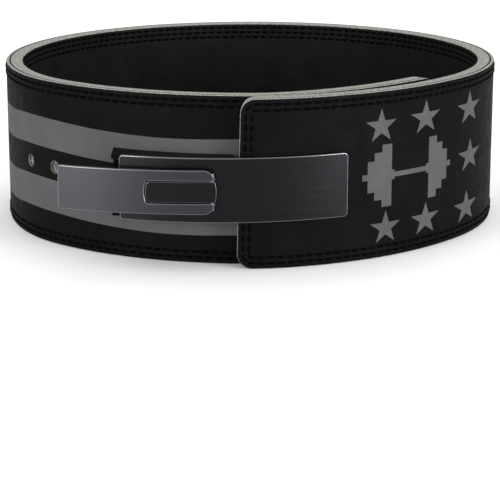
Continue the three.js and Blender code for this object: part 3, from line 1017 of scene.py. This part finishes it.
def lever_place():
    """The lever's two faces, drawn together in a half circle about its pin at the heel."""
    faces = circle_place(LEVER_FACE_CENTRE, LEVER_RADIUS, LEVER_BACK_CENTRE, LEVER_RADIUS)
    radius = LEVER_HEEL_THICKNESS / 2

    def place(u, v, side, depth):
        across = min(max(u - LEVER_PIN.x, 0), radius * 0.995)
        return faces(u, v, side, depth + radius - math.sqrt(radius * radius - across * across))
    return place


def lever(materials):
    right = LEVER_PIN.x + LEVER_HEEL_THICKNESS / 2 - 0.0002
    window_left = LEVER_RIGHT - TONGUE_LENGTH - 2 * TONGUE_GAP
    slot = TONGUE_HEIGHT + 2 * TONGUE_GAP
    heel = [
        (min(u, right), v)
        for u, v in arched_end(LEVER_RIGHT, LEVER_ARCH, LEVER_CORNER, LEVER_HEIGHT, 1, 1, 60)
    ]
    below = [point for point in heel if point[1] < HOLE_LINE - slot / 2 - 0.0003]
    above = [point for point in heel if point[1] > HOLE_LINE + slot / 2 + 0.0003]
    window = arched_end(window_left, TONGUE_ARCH, TONGUE_CORNER, slot, -1, 1)
    edge = (
        below
        + [(below[-1][0], HOLE_LINE - slot / 2)]
        + window
        + [(above[0][0], HOLE_LINE + slot / 2)]
        + above
        + arched_end(LEVER_LEFT, 0, 0.0012, LEVER_HEIGHT, -1, -1)
    )
    outline = inset_outline(split_edges(edge, 0.0016))
    low, high = HOLE_LINE - 0.0115, HOLE_LINE + 0.0115
    grid = column_grid(LEVER_LEFT + 0.002, window_left - 0.002, low, high, 0.002, 0.004)
    for index in range(24):
        u = window_left + (right - 0.001 - window_left) * index / 23
        grid += [(u, HOLE_LINE - 0.0097), (u, HOLE_LINE + 0.0097)]
    return slab("lever_satin", outline, plate_rings(LEVER_EDGE, edge=1), lever_place(), materials, grid=grid)


gunmetal = metal("gunmetal", colour(30, 30, 32), 0.34)
lever_metal = metal("lever_metal", colour(54, 54, 58), 0.38)
# A paler metal on the rounded outer edges of the plate, tongue and lever: a painted highlight along those
# edges.
edge_highlight_metal = metal("edge_highlight_metal", colour(106, 106, 109), 0.3)
black_metal = metal("black_metal", colour(8, 8, 9), 0.5)
screw_metal = metal("screw_metal", colour(120, 120, 124), 0.3)
for node, material in (
    ("buckle_base", black_metal),
    ("base_pin", black_metal),
    ("backing_plate", black_metal),
    ("lever_pin", screw_metal),
    ("base_screw_1", screw_metal),
    ("base_screw_2", screw_metal),
):
    made = frame["nodes"][node]
    made.data.materials.clear()
    made.data.materials.append(material)
plate = hook_plate((gunmetal, edge_highlight_metal))
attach(plate, "belt")
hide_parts("hook_plate")
handle = lever((lever_metal, edge_highlight_metal))
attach(handle, "lever")
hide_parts("lever")


# Scene

FLOOR_REACH = 6.0
FLOOR_LEVEL = -0.0002
# Lights: name, place, width and height, and power
LIGHTS = (
    ("left", (-0.9, -0.95, 0.22), (0.5, 0.4), 14),
    ("right", (1.05, -0.85, 0.22), (0.5, 0.4), 19),
    ("back", (0.2, 1.2, 1.5), (1.6, 1.0), 14),
)
LIGHT_AIM = Vector((0, 0, 0.05))
CAMERA_LENS = 138.14
CAMERA_DISTANCE = 1.25553
CAMERA_HEIGHT = 0.29863
CAMERA_ASIDE = 0.0004
CAMERA_PITCH = 14.721


def floor():
    far = FLOOR_REACH
    corners = [(u, v, FLOOR_LEVEL) for u, v in ((-far, -far), (far, -far), (far, far), (-far, far))]
    material, _, _, shader = new_material("floor")
    shader.inputs["Base Color"].default_value = (0.75, 0.75, 0.75, 1)
    shader.inputs["Roughness"].default_value = 0.9
    shader.inputs["Specular IOR Level"].default_value = 0.1
    made = make_object("floor", corners, [(0, 1, 2, 3)], [0], [material])
    made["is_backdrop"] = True


def area_light(name, place, size, power):
    data = bpy.data.lights.new(name, "AREA")
    data.shape = "RECTANGLE"
    data.size, data.size_y = size
    data.energy = power
    made = bpy.data.objects.new(name, data)
    bpy.context.scene.collection.objects.link(made)
    made.location = place
    aim = LIGHT_AIM - Vector(place)
    made.rotation_euler = aim.to_track_quat("-Z", "Y").to_euler()


def world():
    """An even sky that is brighter overhead."""
    made = bpy.data.worlds.new("studio")
    bpy.context.scene.world = made
    made.use_nodes = True
    nodes, links = made.node_tree.nodes, made.node_tree.links
    background = nodes["Background"]
    background.inputs["Color"].default_value = (1, 1, 1, 1)
    place = nodes.new("ShaderNodeTexCoord")
    axes = nodes.new("ShaderNodeSeparateXYZ")
    links.new(place.outputs["Generated"], axes.inputs["Vector"])
    links.new(add_range(nodes, links, axes.outputs["Z"], 0.6, 1.35, 0.1, 0.8), background.inputs["Strength"])


def camera():
    data = bpy.data.cameras.new("camera")
    data.sensor_width = 36
    data.lens = CAMERA_LENS
    made = bpy.data.objects.new("camera", data)
    bpy.context.scene.collection.objects.link(made)
    made.location = (AXIS.x - CAMERA_ASIDE, AXIS.y - CAMERA_DISTANCE, CAMERA_HEIGHT)
    made.rotation_euler = (math.radians(90 - CAMERA_PITCH), 0, 0)
    bpy.context.scene.camera = made


floor()
world()
for light in LIGHTS:
    area_light(*light)
camera()
bpy.context.scene.view_settings.view_transform = "Standard"

visual_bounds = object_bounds()
boxes = {"cad": cad_bounds, "visual": visual_bounds}
{name: [list(corner) for corner in box] for name, box in boxes.items()}
